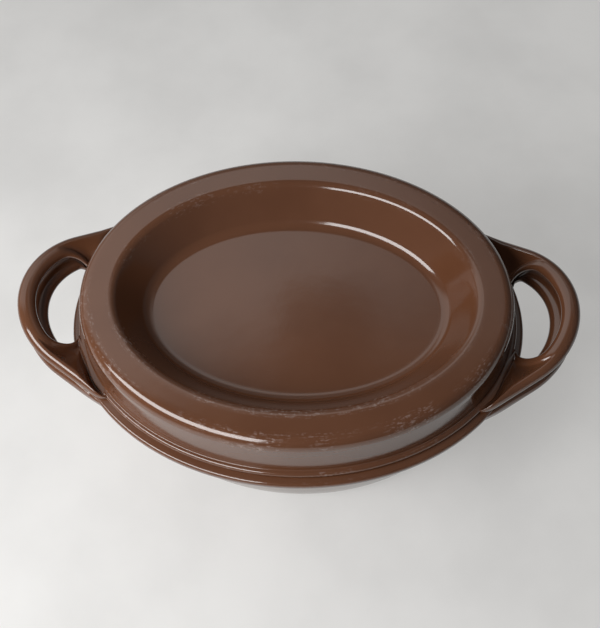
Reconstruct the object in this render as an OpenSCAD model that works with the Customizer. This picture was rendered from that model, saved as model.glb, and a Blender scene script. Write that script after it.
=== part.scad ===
// Oval enamelled cast-iron dutch oven with a water-well lid.
// One oval, drawn with four arcs, carries every wall: a section is written as offsets from the
// pot's lip and is turned round the four arc centres.

/* [Oval] */
// Length over the pot's lip
lip_length = 290; // [276:1:306]
// Width over the pot's lip
lip_width = 224.6; // [218:0.2:229]
// Half angle of each end arc
end_half_angle = 50; // [47:1:53]

/* [Pot] */
// Height of the rim's seat above the table
rim_height = 108; // [90:1:130]
// Thickness of the cast wall
wall = 4.8; // [3.8:0.1:6]
// Thickness of the floor
pot_floor = 6; // [5:0.5:8]
// Slope of the wall from upright, in degrees
wall_draft = 8; // [5:0.5:10]
// Radius of the outer corner between wall and base
base_corner = 22; // [16:1:26]
// Distance that the lip stands out from the wall
lip_overhang = 8; // [6:0.5:10]
// Height of the lip's edge
lip_height = 8; // [7:0.5:10]
// Width of the foot that the pot stands on
foot_width = 12; // [8:1:16]
// Height of the hollow inside the foot
foot_hollow = 1.2; // [0.8:0.1:2]

/* [Lid] */
// Height of the lid above its seat
lid_height = 34.6; // [30:0.2:40]
// Thickness of the cast lid
lid_wall = 4.5; // [3.8:0.1:5.5]
// Gap in the seat, taken up by the enamel
seat_gap = 0.3; // [0.2:0.05:0.4]
// Distance of the brim's edge inside the pot's lip
brim_inset = 4.9; // [4.4:0.1:6]
// Thickness of the brim
brim_height = 4.4; // [3.6:0.1:5]
// Distance of the crown's foot inside the pot's lip
crown_foot = 8.3; // [7.8:0.1:9]
// Distance of the crown's outer top corner inside the pot's lip
crown_top = 12.2; // [11:0.1:13]
// Distance of the well's edge inside the pot's lip
well_edge = 33.6; // [31:0.1:36]
// Distance of the well's foot inside the pot's lip
well_foot = 50.9; // [48:0.1:54]
// Depth of the well
well_depth = 24; // [20:0.5:26]
// Height of the rib that centres the lid in the pot
rib_height = 4; // [3:0.5:6]

/* [Handles] */
// Distance inside the lip's end at which the height of the loops is measured
loop_pivot_inset = 15; // [14.5:0.5:17]
// Radius of the loops, at the middle of the bar
loop_radius = 48; // [47.4:0.2:48.8]
// Half angle of the loops' arc
loop_half_angle = 58.8; // [57.4:0.2:59.2]
// Angle round the end of the oval at which a leg fades out
root_angle = 46; // [45:0.5:48]
// Rise of the loops outwards, in degrees
loop_rise = 19.1; // [16:0.1:21]
// Distance of the arc centre of the lid's loops inside the lip's end
lid_loop_inset = 23.5; // [22.7:0.1:24]
// Length of a straight leg of the lid's loops
lid_leg = 30; // [28:0.5:30.5]
// Height of the lid's loops above the seat
lid_loop_height = 7.8; // [7.2:0.1:8.6]
// Width of the lid's handle bar
lid_bar_width = 9.8; // [9:0.1:10.6]
// Thickness of the lid's handle bar
lid_bar_height = 9.4; // [8.6:0.1:9.8]
// Thickness of the lid handle's web where it joins the brim
lid_web = 3.4; // [3:0.1:3.6]
// Width of the level flange between the brim and the dish of the lid handle's web
lid_flange = 4.9; // [3.5:0.1:6]
// Depth of the dish in the lid handle's web
lid_dish = 3; // [2:0.1:3]
// Radius of the ends of the lid handle's finger hole
lid_hole_corner = 9.5; // [9:0.1:10]
// Distance of the arc centre of the pot's loops inside the lip's end
pot_loop_inset = 25; // [24.2:0.1:25.8]
// Length of a straight leg of the pot's loops
pot_leg = 20; // [18:1:22]
// Depth of the pot's loops below the rim
pot_loop_depth = 6.7; // [6:0.1:7.5]
// Width of the pot's handle bar
pot_bar_width = 13.2; // [12.6:0.1:13.8]
// Thickness of the pot's handle bar
pot_bar_height = 10.4; // [9:0.1:10.8]
// Thickness of the pot handle's web where it joins the lip
pot_web = 5; // [4:0.1:5.6]
// Depth of the dish in the pot handle's web
pot_dish = 2.4; // [1:0.1:3]
// Radius of the ends of the pot handle's finger hole
pot_hole_corner = 6; // [5.6:0.1:6.6]

/* [Drip studs] */
// Spacing of the studs under the lid
stud_pitch = 22; // [18:1:28]
// Width of a stud at its root
stud_width = 9; // [7:0.5:11]
// Width of a stud at its tip
stud_tip = 3.6; // [2:0.2:5]
// Length of a stud
stud_height = 3; // [2:0.5:4]
// Bare margin between the studs and the edge of the lid's floor
stud_margin = 9; // [6:1:14]

/* [Hidden] */
$fn = 96;
enamel = [0.36, 0.24, 0.18];
dark_enamel = [0.12, 0.11, 0.11];

// Heights between a corner and the level at which the casting is divided into nodes
pot_split_step = 3;
crown_split_step = 4;
// Widths of the rings round the level middles of the floors, and how far a middle laps its ring
pot_ring_width = 4;
lid_ring_width = 11;
ring_lap = 2;
// Play of the lid's rib in the pot's mouth, and the width of the rib
rib_play = 1.2;
rib_width = 4;

// The oval's four arcs: the end arcs and the side arcs meet at the end arcs' half angle
oval_a = lip_length / 2;
oval_b = lip_width / 2;
arc_gap = (oval_a - oval_b) / (sin(end_half_angle) + cos(end_half_angle) - 1);
end_centre = arc_gap * cos(end_half_angle);
side_centre = arc_gap * sin(end_half_angle);
end_radius = oval_a - end_centre;
side_radius = oval_b + side_centre;

// Heights above the table
lip_under = rim_height - lip_height;
pot_split = lip_under - pot_split_step;
seat = rim_height + seat_gap;
brim_top = seat + brim_height;
crown_split = brim_top + crown_split_step;
crown_height = seat + lid_height;
crown_under = crown_height - lid_wall;
well_floor = crown_height - well_depth;
well_under = well_floor - lid_wall;

// Offsets inwards from the lip
foot_inner = lip_overhang + lip_under * tan(wall_draft) + base_corner + foot_width;
pot_core = foot_inner + pot_ring_width;
land_inner = lip_overhang + wall / cos(wall_draft) - lip_height * tan(wall_draft);
rib_outer = land_inner + rib_play;
rib_inner = rib_outer + rib_width;
well_split = (crown_top + well_edge) / 2;
well_slope = (well_foot - well_edge) / well_depth;
lid_core = well_foot + lid_ring_width;

// Handles: stations in each of the three zones of half a loop, and corners of the loft's section
zone_steps = 6;
bar_steps = 6;
web_steps = 6;
edge_steps = 8;
// Flat width on top of a bar, reach and width of the root's tip, and its angle short of the leg's end
bar_flat = 1.2;
root_reach = 7;
root_width = 2;
root_short = 3;
// Length of a leg beside the rounded end of the finger hole
lid_fan = 16;
pot_fan = 0;
// Share of the stations beside the web that are on the straight leg
leg_share = 0.67;
// Share of the room outside its seat that half a bar may take
half_share = 0.5;
// Shares of a web that its flange and the depth of its dish may take
flange_share = 0.6;
dish_share = 0.12;
// Share of the dish by which the underside of a web is let down
under_share = 0.5;
// Play between a loop and the castings below and beside it
lid_loop_play = 0.6;
seat_play = 0.13;
lid_loop_low = seat + lid_loop_play;
loop_pivot = oval_a - loop_pivot_inset;
lid_loop_centre = oval_a - lid_loop_inset;
pot_loop_centre = oval_a - pot_loop_inset;

// Corner radii of the castings
lip_round = 3.9;
lip_fillet = 2.5;
brim_round = 1.6;
brim_fillet = 1.7;
crown_round = 7.5;
well_edge_round = 3.5;
well_floor_round = 9.5;
inner_round = 4;
rib_round = 1;

// Offsets of the main faces at a height
function pot_outside(z) = -lip_overhang - (lip_under - z) * tan(wall_draft);
function pot_inside(z) = -land_inner - (rim_height - z) * tan(wall_draft);
function crown_outside(z) =
    -crown_foot - (z - brim_top) * (crown_top - crown_foot) / (crown_height - brim_top);
function crown_inside(z) =
    -rib_inner + (z - seat) * (rib_inner - crown_top - lid_wall) / (crown_under - seat);
function well_back(z) =
    -well_edge + lid_wall * sqrt(1 + well_slope * well_slope) - (crown_height - z) * well_slope;

// Points on the arc that rounds the corner q, between p and s, with radius r
function unit(v) = v / norm(v);
function corner(p, q, s, r) =
    let (back = unit(p - q))
    let (ahead = unit(s - q))
    let (half = acos(back * ahead) / 2)
    let (centre = q + unit(back + ahead) * r / sin(half))
    let (first = q + back * r / tan(half) - centre)
    let (start = atan2(first.y, first.x))
    let (turn = (180 - 2 * half) * sign(back.y * ahead.x - back.x * ahead.y))
    let (steps = ceil(abs(turn) / 15))
    r == 0 ? [q] : [for (i = [0 : steps])
        centre + r * [cos(start + turn * i / steps), sin(start + turn * i / steps)]];

// Closed outline from corners written as [offset, height, radius]
function place(c) = [c[0], c[1]];
function rounded(list) = [for (i = [0 : len(list) - 1])
    each corner(place(list[(i + len(list) - 1) % len(list)]), place(list[i]),
        place(list[(i + 1) % len(list)]), list[i][2])];

// Points on an arc round the origin
function arc(radius, from, to, steps) = [for (i = [0 : steps])
    radius * [cos(from + (to - from) * i / steps), sin(from + (to - from) * i / steps)]];

// The oval at an offset from the lip, as an outline
function oval(offset) = concat(
    [for (p = arc(end_radius + offset, -end_half_angle, end_half_angle, 12)) p + [end_centre, 0]],
    [for (p = arc(side_radius + offset, end_half_angle, 180 - end_half_angle, 12)) p - [0, side_centre]],
    [for (p = arc(end_radius + offset, 180 - end_half_angle, 180 + end_half_angle, 12)) p - [end_centre, 0]],
    [for (p = arc(side_radius + offset, 180 + end_half_angle, 360 - end_half_angle, 12))
        p + [0, side_centre]]);

// A point on the end arc of the oval, at an offset from the lip
function end_point(offset, angle) =
    [end_centre, 0] + (end_radius + offset) * [cos(angle), sin(angle)];

// A loop's figures: bar width and height, height at the pivot, web height and level, hole corner,
// whether it is cast on the lip, its lowest level, arc centre, flange width, depth of the dish,
// length of the leg, and length of the leg beside the hole's end
lid_loop = [lid_bar_width, lid_bar_height, seat + lid_loop_height, lid_web,
    lid_loop_low + lid_web / 2, lid_hole_corner, false, lid_loop_low,
    lid_loop_centre, lid_flange, lid_dish, lid_leg, lid_fan];
pot_loop = [pot_bar_width, pot_bar_height, rim_height - pot_loop_depth, pot_web,
    rim_height - lip_height / 2, pot_hole_corner, true, 0,
    pot_loop_centre, 0, pot_dish, pot_leg, pot_fan];

// Offset of the face that a web is cast on: the brim's upright edge or the half-round lip
function lip_bulge(z) =
    let (half = lip_height / 2)
    let (rise = max(0, abs(z - rim_height + half) - half + lip_round))
    sqrt(max(0, lip_round * lip_round - rise * rise)) - lip_round;
function web_seat(loop, z) = seat_play + (loop[6] ? lip_bulge(z) : -brim_inset);
function seat_room(loop, p) = norm(p - [end_centre, 0]) - end_radius - web_seat(loop, loop[4]);

// The finger hole's rounded end touches the bar on one side and the seat of the web on the other
function hole_from_loop(loop) = loop_radius - loop[0] / 2 - loop[5];
function hole_from_end(loop) = end_radius + web_seat(loop, loop[4]) + loop[5];
function hole_turn(loop) =
    let (gap = loop[8] - end_centre)
    let (near = hole_from_loop(loop))
    acos((pow(hole_from_end(loop), 2) - gap * gap - near * near) / (2 * gap * near));
function hole_centre(loop) =
    [loop[8], 0] + hole_from_loop(loop) * [cos(hole_turn(loop)), sin(hole_turn(loop))];
function hole_seat_angle(loop) =
    let (centre = hole_centre(loop) - [end_centre, 0])
    atan2(centre.y, centre.x);

// Outer edge of a loop: the arc, then the straight leg, measured along the edge
function lerp(a, b, t) = a + (b - a) * t;
function ease(t) = t * t * (3 - 2 * t);
function edge_radius(loop) = loop_radius + loop[0] / 2;
function leg_point(loop, run) =
    [loop[8], 0] + edge_radius(loop) * [cos(loop_half_angle), sin(loop_half_angle)]
        + run * [-sin(loop_half_angle), cos(loop_half_angle)];
function edge_point(loop, run) =
    let (arc_run = edge_radius(loop) * loop_half_angle * PI / 180)
    let (angle = run / edge_radius(loop) * 180 / PI)
    run > arc_run ? leg_point(loop, run - arc_run) :
        [loop[8], 0] + edge_radius(loop) * [cos(angle), sin(angle)];
function edge_inwards(loop, run) =
    let (angle = min(loop_half_angle, run / edge_radius(loop) * 180 / PI))
    -[cos(angle), sin(angle)];

// Where a cross line from the hole's last point meets the leg, and where the leg ends
function fan_run(loop) = edge_radius(loop) * loop_half_angle * PI / 180 + loop[12];
function leg_run(loop) = edge_radius(loop) * loop_half_angle * PI / 180 + loop[11];
function root_part(t) = max(0, (t - leg_share) / (1 - leg_share));

// Outer and inner ends of the section at a station of zone 0 (bar), 1 (round the hole) or 2 (web)
function outer_end(loop, zone, t) =
    let (turn_run = edge_radius(loop) * hole_turn(loop) * PI / 180)
    let (root = root_part(t))
    let (bend = leg_point(loop, loop[11] + root_reach))
    let (tip = end_point(web_seat(loop, loop[4]) + root_width, root_angle))
    zone == 0 ? edge_point(loop, turn_run * t) :
    zone == 1 ? edge_point(loop, lerp(turn_run, fan_run(loop), t)) :
    t <= leg_share ? edge_point(loop, lerp(fan_run(loop), leg_run(loop), t / leg_share)) :
    lerp(lerp(edge_point(loop, leg_run(loop)), bend, root), lerp(bend, tip, root), root);
function outer_inwards(loop, zone, t) =
    let (turn_run = edge_radius(loop) * hole_turn(loop) * PI / 180)
    zone == 0 ? edge_inwards(loop, turn_run * t) :
    zone == 1 ? edge_inwards(loop, lerp(turn_run, fan_run(loop), t)) :
    edge_inwards(loop, leg_run(loop));
function inner_end(loop, zone, t) =
    let (turn = hole_turn(loop))
    let (round_hole = lerp(turn, 180 + hole_seat_angle(loop), t))
    zone == 0 ? [loop[8], 0] + (loop_radius - loop[0] / 2) * [cos(turn * t), sin(turn * t)] :
    zone == 1 ? hole_centre(loop) + loop[5] * [cos(round_hole), sin(round_hole)] :
    end_point(web_seat(loop, loop[4]), web_angle(loop, t));
function web_angle(loop, t) = lerp(hole_seat_angle(loop), root_angle - root_short, t);

// Section of a loop: a round bar outside, a dished web, and the web's edge on the hole or on its seat
function loop_section(loop, zone, t) =
    let (fade = zone == 2 ? ease(root_part(t)) : 0)
    let (web = zone == 0 ? 0 : zone == 1 ? ease(t) : 1)
    let (outer = outer_end(loop, zone, t))
    let (full = lerp(loop[0] - bar_flat, root_width, fade) / 2)
    let (half = zone == 2 ? min(full, half_share * seat_room(loop, outer)) : full)
    let (inwards = outer_inwards(loop, zone, t))
    let (middle = outer + inwards * half)
    let (rise = loop[2] + (middle.x - loop_pivot) * tan(loop_rise))
    let (top = lerp(rise + loop[1] / 2, loop[4] + loop[3] / 2, fade))
    let (bottom = max(loop[7], lerp(rise - loop[1] / 2, loop[4] - loop[3] / 2, fade)))
    let (edge = inner_end(loop, zone, t))
    let (edge_depth = lerp((loop[0] - bar_flat) / 2, loop[3] / 2, web))
    let (edge_level = lerp(rise, loop[4], web))
    let (edge_height = lerp(loop[1], loop[3], web))
    let (edge_middle = edge - unit(edge - middle) * edge_depth)
    let (reach = norm(edge_middle - middle))
    let (dish = min(loop[10], dish_share * reach) * web * (1 - fade))
    let (flange = zone == 2 && t > 0 ? min(flange_share, loop[9] / reach) : 0)
    concat(
        [for (a = [-90 : 180 / bar_steps : 90])
            on_height(middle - inwards * half * cos(a), lerp(bottom, top, (1 + sin(a)) / 2))],
        [for (k = [1 : web_steps - 1])
            let (q = k / (flange > 0 ? web_steps - 1 : web_steps))
            on_height(lerp(middle, edge_middle, q * (1 - flange)),
                lerp(top, edge_level + edge_height / 2, 1 - pow(1 - q, 2)) - dish * sin(180 * q))],
        [for (a = [90 : -180 / edge_steps : -90])
            let (z = edge_level + edge_height / 2 * sin(a))
            zone == 2 ? on_height(end_point(web_seat(loop, z), web_angle(loop, t)), z) :
                on_height(lerp(edge_middle, edge, cos(a)), z)],
        [for (k = [1 : web_steps - 1])
            let (q = k / web_steps)
            on_height(lerp(edge_middle, middle, q),
                lerp(edge_level - edge_height / 2, bottom, q) - under_share * dish * sin(180 * q))]);
function on_height(p, z) = [p.x, p.y, z];

// Turns a section, drawn as offset and height, round the oval
module round_oval() {
    for (end = [0, 180])
        rotate(end)
            translate([end_centre, 0, 0])
                rotate_extrude(angle = 2 * end_half_angle, start = -end_half_angle)
                    translate([end_radius, 0])
                        children();
    for (side = [0, 180])
        rotate(side)
            translate([0, -side_centre, 0])
                rotate_extrude(angle = 180 - 2 * end_half_angle, start = end_half_angle)
                    translate([side_radius, 0])
                        children();
}

// Level plate that closes the middle of a floor
module middle_plate(core, bottom, top) {
    translate([0, 0, bottom])
        linear_extrude(top - bottom)
            polygon(oval(ring_lap - core));
}

// Pot without its lip: wall, rounded corner and floor, on a foot with a shallow hollow
module pot_body() {
    color(enamel) {
        round_oval()
            polygon(rounded([
                [-pot_core, foot_hollow, 0],
                [-foot_inner, foot_hollow, 0],
                [-foot_inner + foot_hollow, 0, 0],
                [pot_outside(0), 0, base_corner],
                [pot_outside(pot_split), pot_split, 0],
                [pot_inside(pot_split), pot_split, 0],
                [pot_inside(pot_floor), pot_floor, base_corner - wall],
                [-pot_core, pot_floor, 0]]));
        middle_plate(pot_core, foot_hollow, pot_floor);
    }
}

// Upper edge of the pot: the half-round lip outside and the level land that the lid sits on
module pot_rim() {
    color(enamel)
        round_oval()
            polygon(rounded([
                [pot_inside(pot_split), pot_split, 0],
                [pot_outside(pot_split), pot_split, 0],
                [pot_outside(lip_under), lip_under, lip_fillet],
                [0, lip_under, lip_round],
                [0, rim_height, lip_round],
                [-land_inner, rim_height, rib_round]]));
}

// Flange of the lid, with the foot of the crown's wall
module lid_brim() {
    color(enamel)
        round_oval()
            polygon(rounded([
                [-rib_inner, seat, 0],
                [-brim_inset, seat, 0],
                [-brim_inset, brim_top, brim_round],
                [crown_outside(brim_top), brim_top, brim_fillet],
                [crown_outside(crown_split), crown_split, 0],
                [crown_inside(crown_split), crown_split, 0]]));
}

// Raised ring of the lid: outer wall, rounded shoulder and level top
module lid_crown() {
    color(enamel)
        round_oval()
            polygon(rounded([
                [crown_inside(crown_split), crown_split, 0],
                [crown_outside(crown_split), crown_split, 0],
                [crown_outside(crown_height), crown_height, crown_round],
                [-well_split, crown_height, 0],
                [-well_split, crown_under, 0],
                [crown_inside(crown_under), crown_under, inner_round]]));
}

// Sunken well of the lid: its rounded edge, sloping wall and level floor
module lid_well() {
    color(enamel) {
        round_oval()
            polygon(rounded([
                [-well_split, crown_under, 0],
                [-well_split, crown_height, 0],
                [-well_edge, crown_height, well_edge_round],
                [-well_foot, well_floor, well_floor_round],
                [-lid_core, well_floor, 0],
                [-lid_core, well_under, 0],
                [well_back(well_under), well_under, inner_round],
                [well_back(crown_under), crown_under, inner_round]]));
        middle_plate(lid_core, well_under, well_floor);
    }
}

// Rib under the brim that centres the lid in the pot's mouth
module lid_locating_rib() {
    color(dark_enamel)
        round_oval()
            polygon(rounded([
                [-rib_outer, seat, 0],
                [-rib_outer, seat - rib_height, rib_round],
                [-rib_inner, seat - rib_height, rib_round],
                [-rib_inner, seat, 0]]));
}

// Studs under the well's floor, on which drops gather and fall back
module lid_drip_studs() {
    reach_x = oval_a - well_foot - stud_margin;
    reach_y = oval_b - well_foot - stud_margin;
    row_pitch = stud_pitch * cos(30);
    rows = floor(reach_y / row_pitch);
    columns = ceil(reach_x / stud_pitch);
    color(dark_enamel)
        for (row = [-rows : rows], column = [-columns : columns]) {
            x = (column + abs(row % 2) / 2) * stud_pitch;
            y = row * row_pitch;
            if (pow(x / reach_x, 2) + pow(y / reach_y, 2) <= 1)
                translate([x, y, well_under - stud_height])
                    cylinder(h = stud_height, d1 = stud_tip, d2 = stud_width, $fn = 32);
        }
}

// Loop handle on the end of the oval, lofted through its sections from one root to the other
module lofted_loop(loop) {
    last = 3 * zone_steps;
    rings = [for (i = [-last : last])
        let (zone = min(2, floor(abs(i) / zone_steps)))
        [for (p = loop_section(loop, zone, abs(i) / zone_steps - zone)) [p.x, sign(i) * p.y, p.z]]];
    corners = len(rings[0]);
    faces = [for (i = [0 : len(rings) - 2], k = [0 : corners - 1])
        let (here = i * corners + k)
        let (next = i * corners + (k + 1) % corners)
        each [[here, next, here + corners], [next, next + corners, here + corners]]];
    outermost = bar_steps / 2;
    fan = [for (k = [1 : corners - 2])
        [outermost, (outermost + k) % corners, (outermost + k + 1) % corners]];
    first_cap = [for (t = fan) [t[0], t[2], t[1]]];
    last_cap = [for (t = fan) t + (len(rings) - 1) * corners * [1, 1, 1]];
    polyhedron(points = [for (ring = rings) each ring], faces = concat(faces, first_cap, last_cap));
}

// Pot handle, cast on the lip
module pot_handle() {
    color(enamel)
        lofted_loop(pot_loop);
}

// Lid handle, cast on the brim
module lid_handle() {
    color(enamel)
        lofted_loop(lid_loop);
}

module pot_handle_right() {
    pot_handle();
}

module pot_handle_left() {
    rotate(180)
        pot_handle();
}

module lid_handle_right() {
    lid_handle();
}

module lid_handle_left() {
    rotate(180)
        lid_handle();
}

pot_body();
pot_rim();
pot_handle_left();
pot_handle_right();
lid_well();
lid_crown();
lid_brim();
lid_locating_rib();
lid_handle_left();
lid_handle_right();
lid_drip_studs();
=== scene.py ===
"""Oval dutch oven in glossy brown enamel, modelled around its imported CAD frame."""

import math

import bmesh
import bpy
from bpy.props import FloatProperty, FloatVectorProperty, IntProperty, PointerProperty
from mathutils import Matrix, Vector


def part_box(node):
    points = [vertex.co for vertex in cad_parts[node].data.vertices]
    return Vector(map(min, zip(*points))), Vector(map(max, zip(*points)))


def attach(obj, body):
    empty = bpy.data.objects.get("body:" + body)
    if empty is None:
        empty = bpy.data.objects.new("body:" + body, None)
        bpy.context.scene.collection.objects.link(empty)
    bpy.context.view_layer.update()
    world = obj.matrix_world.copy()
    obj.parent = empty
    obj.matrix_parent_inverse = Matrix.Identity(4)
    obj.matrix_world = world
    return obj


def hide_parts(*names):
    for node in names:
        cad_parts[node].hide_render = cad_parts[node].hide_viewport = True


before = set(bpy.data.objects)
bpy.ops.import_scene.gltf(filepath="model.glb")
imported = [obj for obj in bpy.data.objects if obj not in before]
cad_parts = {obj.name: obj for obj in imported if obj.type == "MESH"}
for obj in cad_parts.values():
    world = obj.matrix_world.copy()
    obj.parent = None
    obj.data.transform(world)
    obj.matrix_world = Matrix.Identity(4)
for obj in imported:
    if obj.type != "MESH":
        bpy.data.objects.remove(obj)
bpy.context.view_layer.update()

bl_info = {
    "name": "Oval Dutch Oven",
    "version": (1, 0, 0),
    "blender": (4, 5, 0),
    "location": "View3D > Sidebar > Dutch Oven",
    "description": "Builds an oval enamelled dutch oven with a water-well lid",
    "category": "Add Mesh",
}

MM = 0.001

# Vertex values that the materials read
WEAR = "wear"
DARK = "dark"
GRAIN = "grain"

# Places taken from the CAD
POT_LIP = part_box("pot_rim")[1]
LID_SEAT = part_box("lid_brim")[0].z
CROWN_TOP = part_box("lid_crown")[1].z
RIB_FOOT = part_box("lid_locating_rib")[0].z
STUD_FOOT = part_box("lid_drip_studs")[0].z

# A section starts this far from the axis, and its ring there closes to a line
MIDDLE = 0.25 * MM

# Points closer than this become one, and faces with more dark than this are inside
DOUBLES = 0.004 * MM
DARK_FROM = 0.5

# Fineness of the rubbed streaks across the casting, against along it
GRAIN_ACROSS = 50

# Faces and bevel profile of a rounded edge
ROUND_STEPS = 8
CIRCLE = 0.5


def length(name, description, default):
    """A length in metres that a user can change."""
    return FloatProperty(name=name, description=description, default=default, min=0.0,
                         precision=4, subtype="DISTANCE", unit="LENGTH")


def mm(name, description, millimetres):
    """A length given in millimetres."""
    return length(name, description, millimetres * MM)


def position(name, description, default):
    """A point that a user can change."""
    return FloatVectorProperty(name=name, description=description, default=default, size=3,
                               subtype="TRANSLATION", unit="LENGTH")


def lamp_power(name, description, watts):
    """A lamp's power that a user can change."""
    return FloatProperty(name=name, description=description, default=watts, min=0.0, unit="POWER")


def angle(name, description, degrees):
    """An angle that a user can change."""
    return FloatProperty(name=name, description=description, default=math.radians(degrees),
                         subtype="ANGLE", unit="ROTATION")


def share(name, description, default):
    """A value from 0 to 1 that a user can change."""
    return FloatProperty(name=name, description=description, default=default, min=0.0, max=1.0,
                         subtype="FACTOR")


def colour(name, description, default):
    """A colour that a user can change."""
    return FloatVectorProperty(name=name, description=description, default=default, size=3,
                               min=0.0, max=1.0, subtype="COLOR")


# Settings

class OvenOval(bpy.types.PropertyGroup):
    """The oval that every wall follows."""

    half_length: length("Half length", "Half the length over the pot's lip", POT_LIP.x)
    half_width: length("Half width", "Half the width over the pot's lip", POT_LIP.y)
    steps: IntProperty(name="Steps", description="Faces round the oval", default=192, min=48)
    end_centre: mm("End centre", "Distance of the end arc's centre from the middle", 51.4)
    end_radius: mm("End radius", "Radius of the end arc at the lip", 93.6)


class PotSizes(bpy.types.PropertyGroup):
    """Sizes of the pot's casting."""

    rim_height: length("Rim height", "Height of the land that the lid sits on", POT_LIP.z)
    lip_height: mm("Lip height", "Height of the lip", 8)
    overhang: mm("Overhang", "Distance that the lip stands out from the wall", 8)
    wall: mm("Wall", "Thickness of the wall", 4.8)
    floor: mm("Floor", "Height of the floor inside", 6)
    draft: angle("Draft", "Slope of the wall from upright", 8)
    corner: mm("Corner", "Radius of the outer corner at the base", 22)
    foot: mm("Foot", "Width of the foot", 12)
    hollow: mm("Hollow", "Height of the hollow inside the foot", 1.2)
    lip_root_round: mm("Lip root round", "Radius between the wall and the lip", 2.5)
    lip_under_round: mm("Lip under round", "Radius of the lip's lower edge", 3.92)
    lip_round: mm("Lip round", "Radius of the lip's upper edge", 2.2)


class LidSizes(bpy.types.PropertyGroup):
    """Sizes of the lid's casting."""

    seat: length("Seat", "Height of the brim's underside", LID_SEAT)
    top: length("Top", "Height of the crown", CROWN_TOP)
    wall: mm("Wall", "Thickness of the casting", 4.5)
    brim_inset: mm("Brim inset", "Distance of the brim's edge inside the lip", 4.9)
    brim: mm("Brim", "Thickness of the brim", 4.4)
    crown_foot: mm("Crown foot", "Distance of the crown's foot inside the lip", 8.3)
    crown_top: mm("Crown top", "Distance of the crown's shoulder inside the lip", 12.2)
    shoulder: mm("Shoulder", "Radius of the crown's shoulder", 7.5)
    well_edge: mm("Well edge", "Distance of the well's edge inside the lip", 33.6)
    well_foot: mm("Well foot", "Distance of the well's foot inside the lip", 49.6)
    well_depth: mm("Well depth", "Depth of the well", 25)
    well_edge_round: mm("Well edge round", "Radius of the well's edge", 5.5)
    well_fillet: mm("Well fillet", "Radius between the well's wall and floor", 8.5)
    crown_foot_round: mm("Crown foot round", "Radius between crown and brim", 1)
    brim_round: mm("Brim round", "Radius of the brim's upper edge", 2)
    under_round: mm("Underside round", "Radius of the corners under the lid", 4)
    rib_outer: mm("Rib outside", "Distance of the rib's outside inside the lip", 12.92)
    rib_width: mm("Rib width", "Thickness of the rib", 4)
    stud_pitch: mm("Stud pitch", "Spacing of the drip studs", 22)
    stud_width: mm("Stud width", "Width of a drip stud at its root", 9)
    stud_tip: mm("Stud tip", "Width of a drip stud at its tip", 3.6)
    stud_margin: mm("Stud margin", "Bare margin round the drip studs", 9)


class LoopSizes(bpy.types.PropertyGroup):
    """Sizes of the loop handles: first what all share, then the lid's and the pot's."""

    pivot: mm("Pivot", "Distance from the middle where a loop's height is taken", 130)
    radius: mm("Radius", "Radius of the loops at the middle of the bar", 47.2)
    half_angle: angle("Half angle", "Half angle of the loops' arc", 58.8)
    root_angle: angle("Root angle", "Angle round the oval's end at which a leg fades out", 46)
    rise: angle("Rise", "Rise of the loops outwards", 19.1)
    lid_centre: mm("Lid loop centre", "Distance of the lid loops' arc centre", 121.5)
    lid_leg: mm("Lid leg", "Length of a straight leg of the lid's loops", 30)
    lid_height: mm("Lid loop height", "Height of the lid's bar at the pivot", 7.8)
    lid_width: mm("Lid bar width", "Width of the lid's bar", 11.4)
    lid_thickness: mm("Lid bar thickness", "Thickness of the lid's bar", 9.4)
    lid_web: mm("Lid web", "Thickness of the lid's web at the brim", 3.84)
    lid_hole: mm("Lid hole corner", "Radius of the lid's finger hole at its ends", 8.5)
    lid_flange: mm("Lid flange", "Width of the level flange between brim and dish", 6.8)
    lid_dish: mm("Lid dish", "Depth of the dish in the lid's web", 2.8)
    lid_fan: mm("Lid fan", "Length of the lid's leg that turns round the hole", 16)
    lid_sunk: mm("Lid root depth", "Depth of the lid's roots in the casting", 3.8)
    lid_clearance: mm("Lid clearance", "Height of the lid's loops above the seat", 0.6)
    pot_centre: mm("Pot loop centre", "Distance of the pot loops' arc centre", 120)
    pot_leg: mm("Pot leg", "Length of a straight leg of the pot's loops", 20)
    pot_depth: mm("Pot loop depth", "Depth of the pot's loops below the rim", 6.7)
    pot_width: mm("Pot bar width", "Width of the pot's bar", 14.8)
    pot_thickness: mm("Pot bar thickness", "Thickness of the pot's bar", 10.4)
    pot_web: mm("Pot web", "Thickness of the pot's web at the lip", 5)
    pot_dish: mm("Pot dish", "Depth of the dish in the pot's web", 2.4)
    pot_hole: mm("Pot hole corner", "Radius of the pot's finger hole at its ends", 3.4)
    pot_sunk: mm("Pot root depth", "Depth of the pot's roots in the casting", 2.2)


class EnamelLook(bpy.types.PropertyGroup):
    """Colours and finish of the enamel."""

    brown: colour("Brown", "Colour of the outer enamel", (0.122, 0.047, 0.022))
    brown_light: colour("Light brown", "Outer enamel where it runs thin", (0.136, 0.054, 0.026))
    worn: colour("Worn", "Enamel that is rubbed dull", (0.36, 0.27, 0.24))
    black: colour("Black", "Colour of the inner enamel", (0.012, 0.011, 0.011))
    black_light: colour("Light black", "Inner enamel at its lightest", (0.0264, 0.0242, 0.0242))
    rub: share("Rub", "Strength of the rubbed places", 0.5)
    gloss: share("Gloss", "Roughness of the outer enamel", 0.1)
    dull: share("Dull", "Roughness that full rubbing adds", 0.35)
    satin: share("Satin", "Roughness of the inner enamel", 0.36)
    satin_spread: share("Satin spread", "Roughness that a thick inner coat adds", 0.12)
    ripple: mm("Ripple", "Height of the outer enamel's ripple", 0.05)
    inner_ripple: mm("Inner ripple", "Height of the inner enamel's ripple", 0.08)
    refraction: FloatProperty(name="Refraction", description="Refractive index of the enamel",
                              default=1.8, min=1.0, max=2.5)


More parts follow.
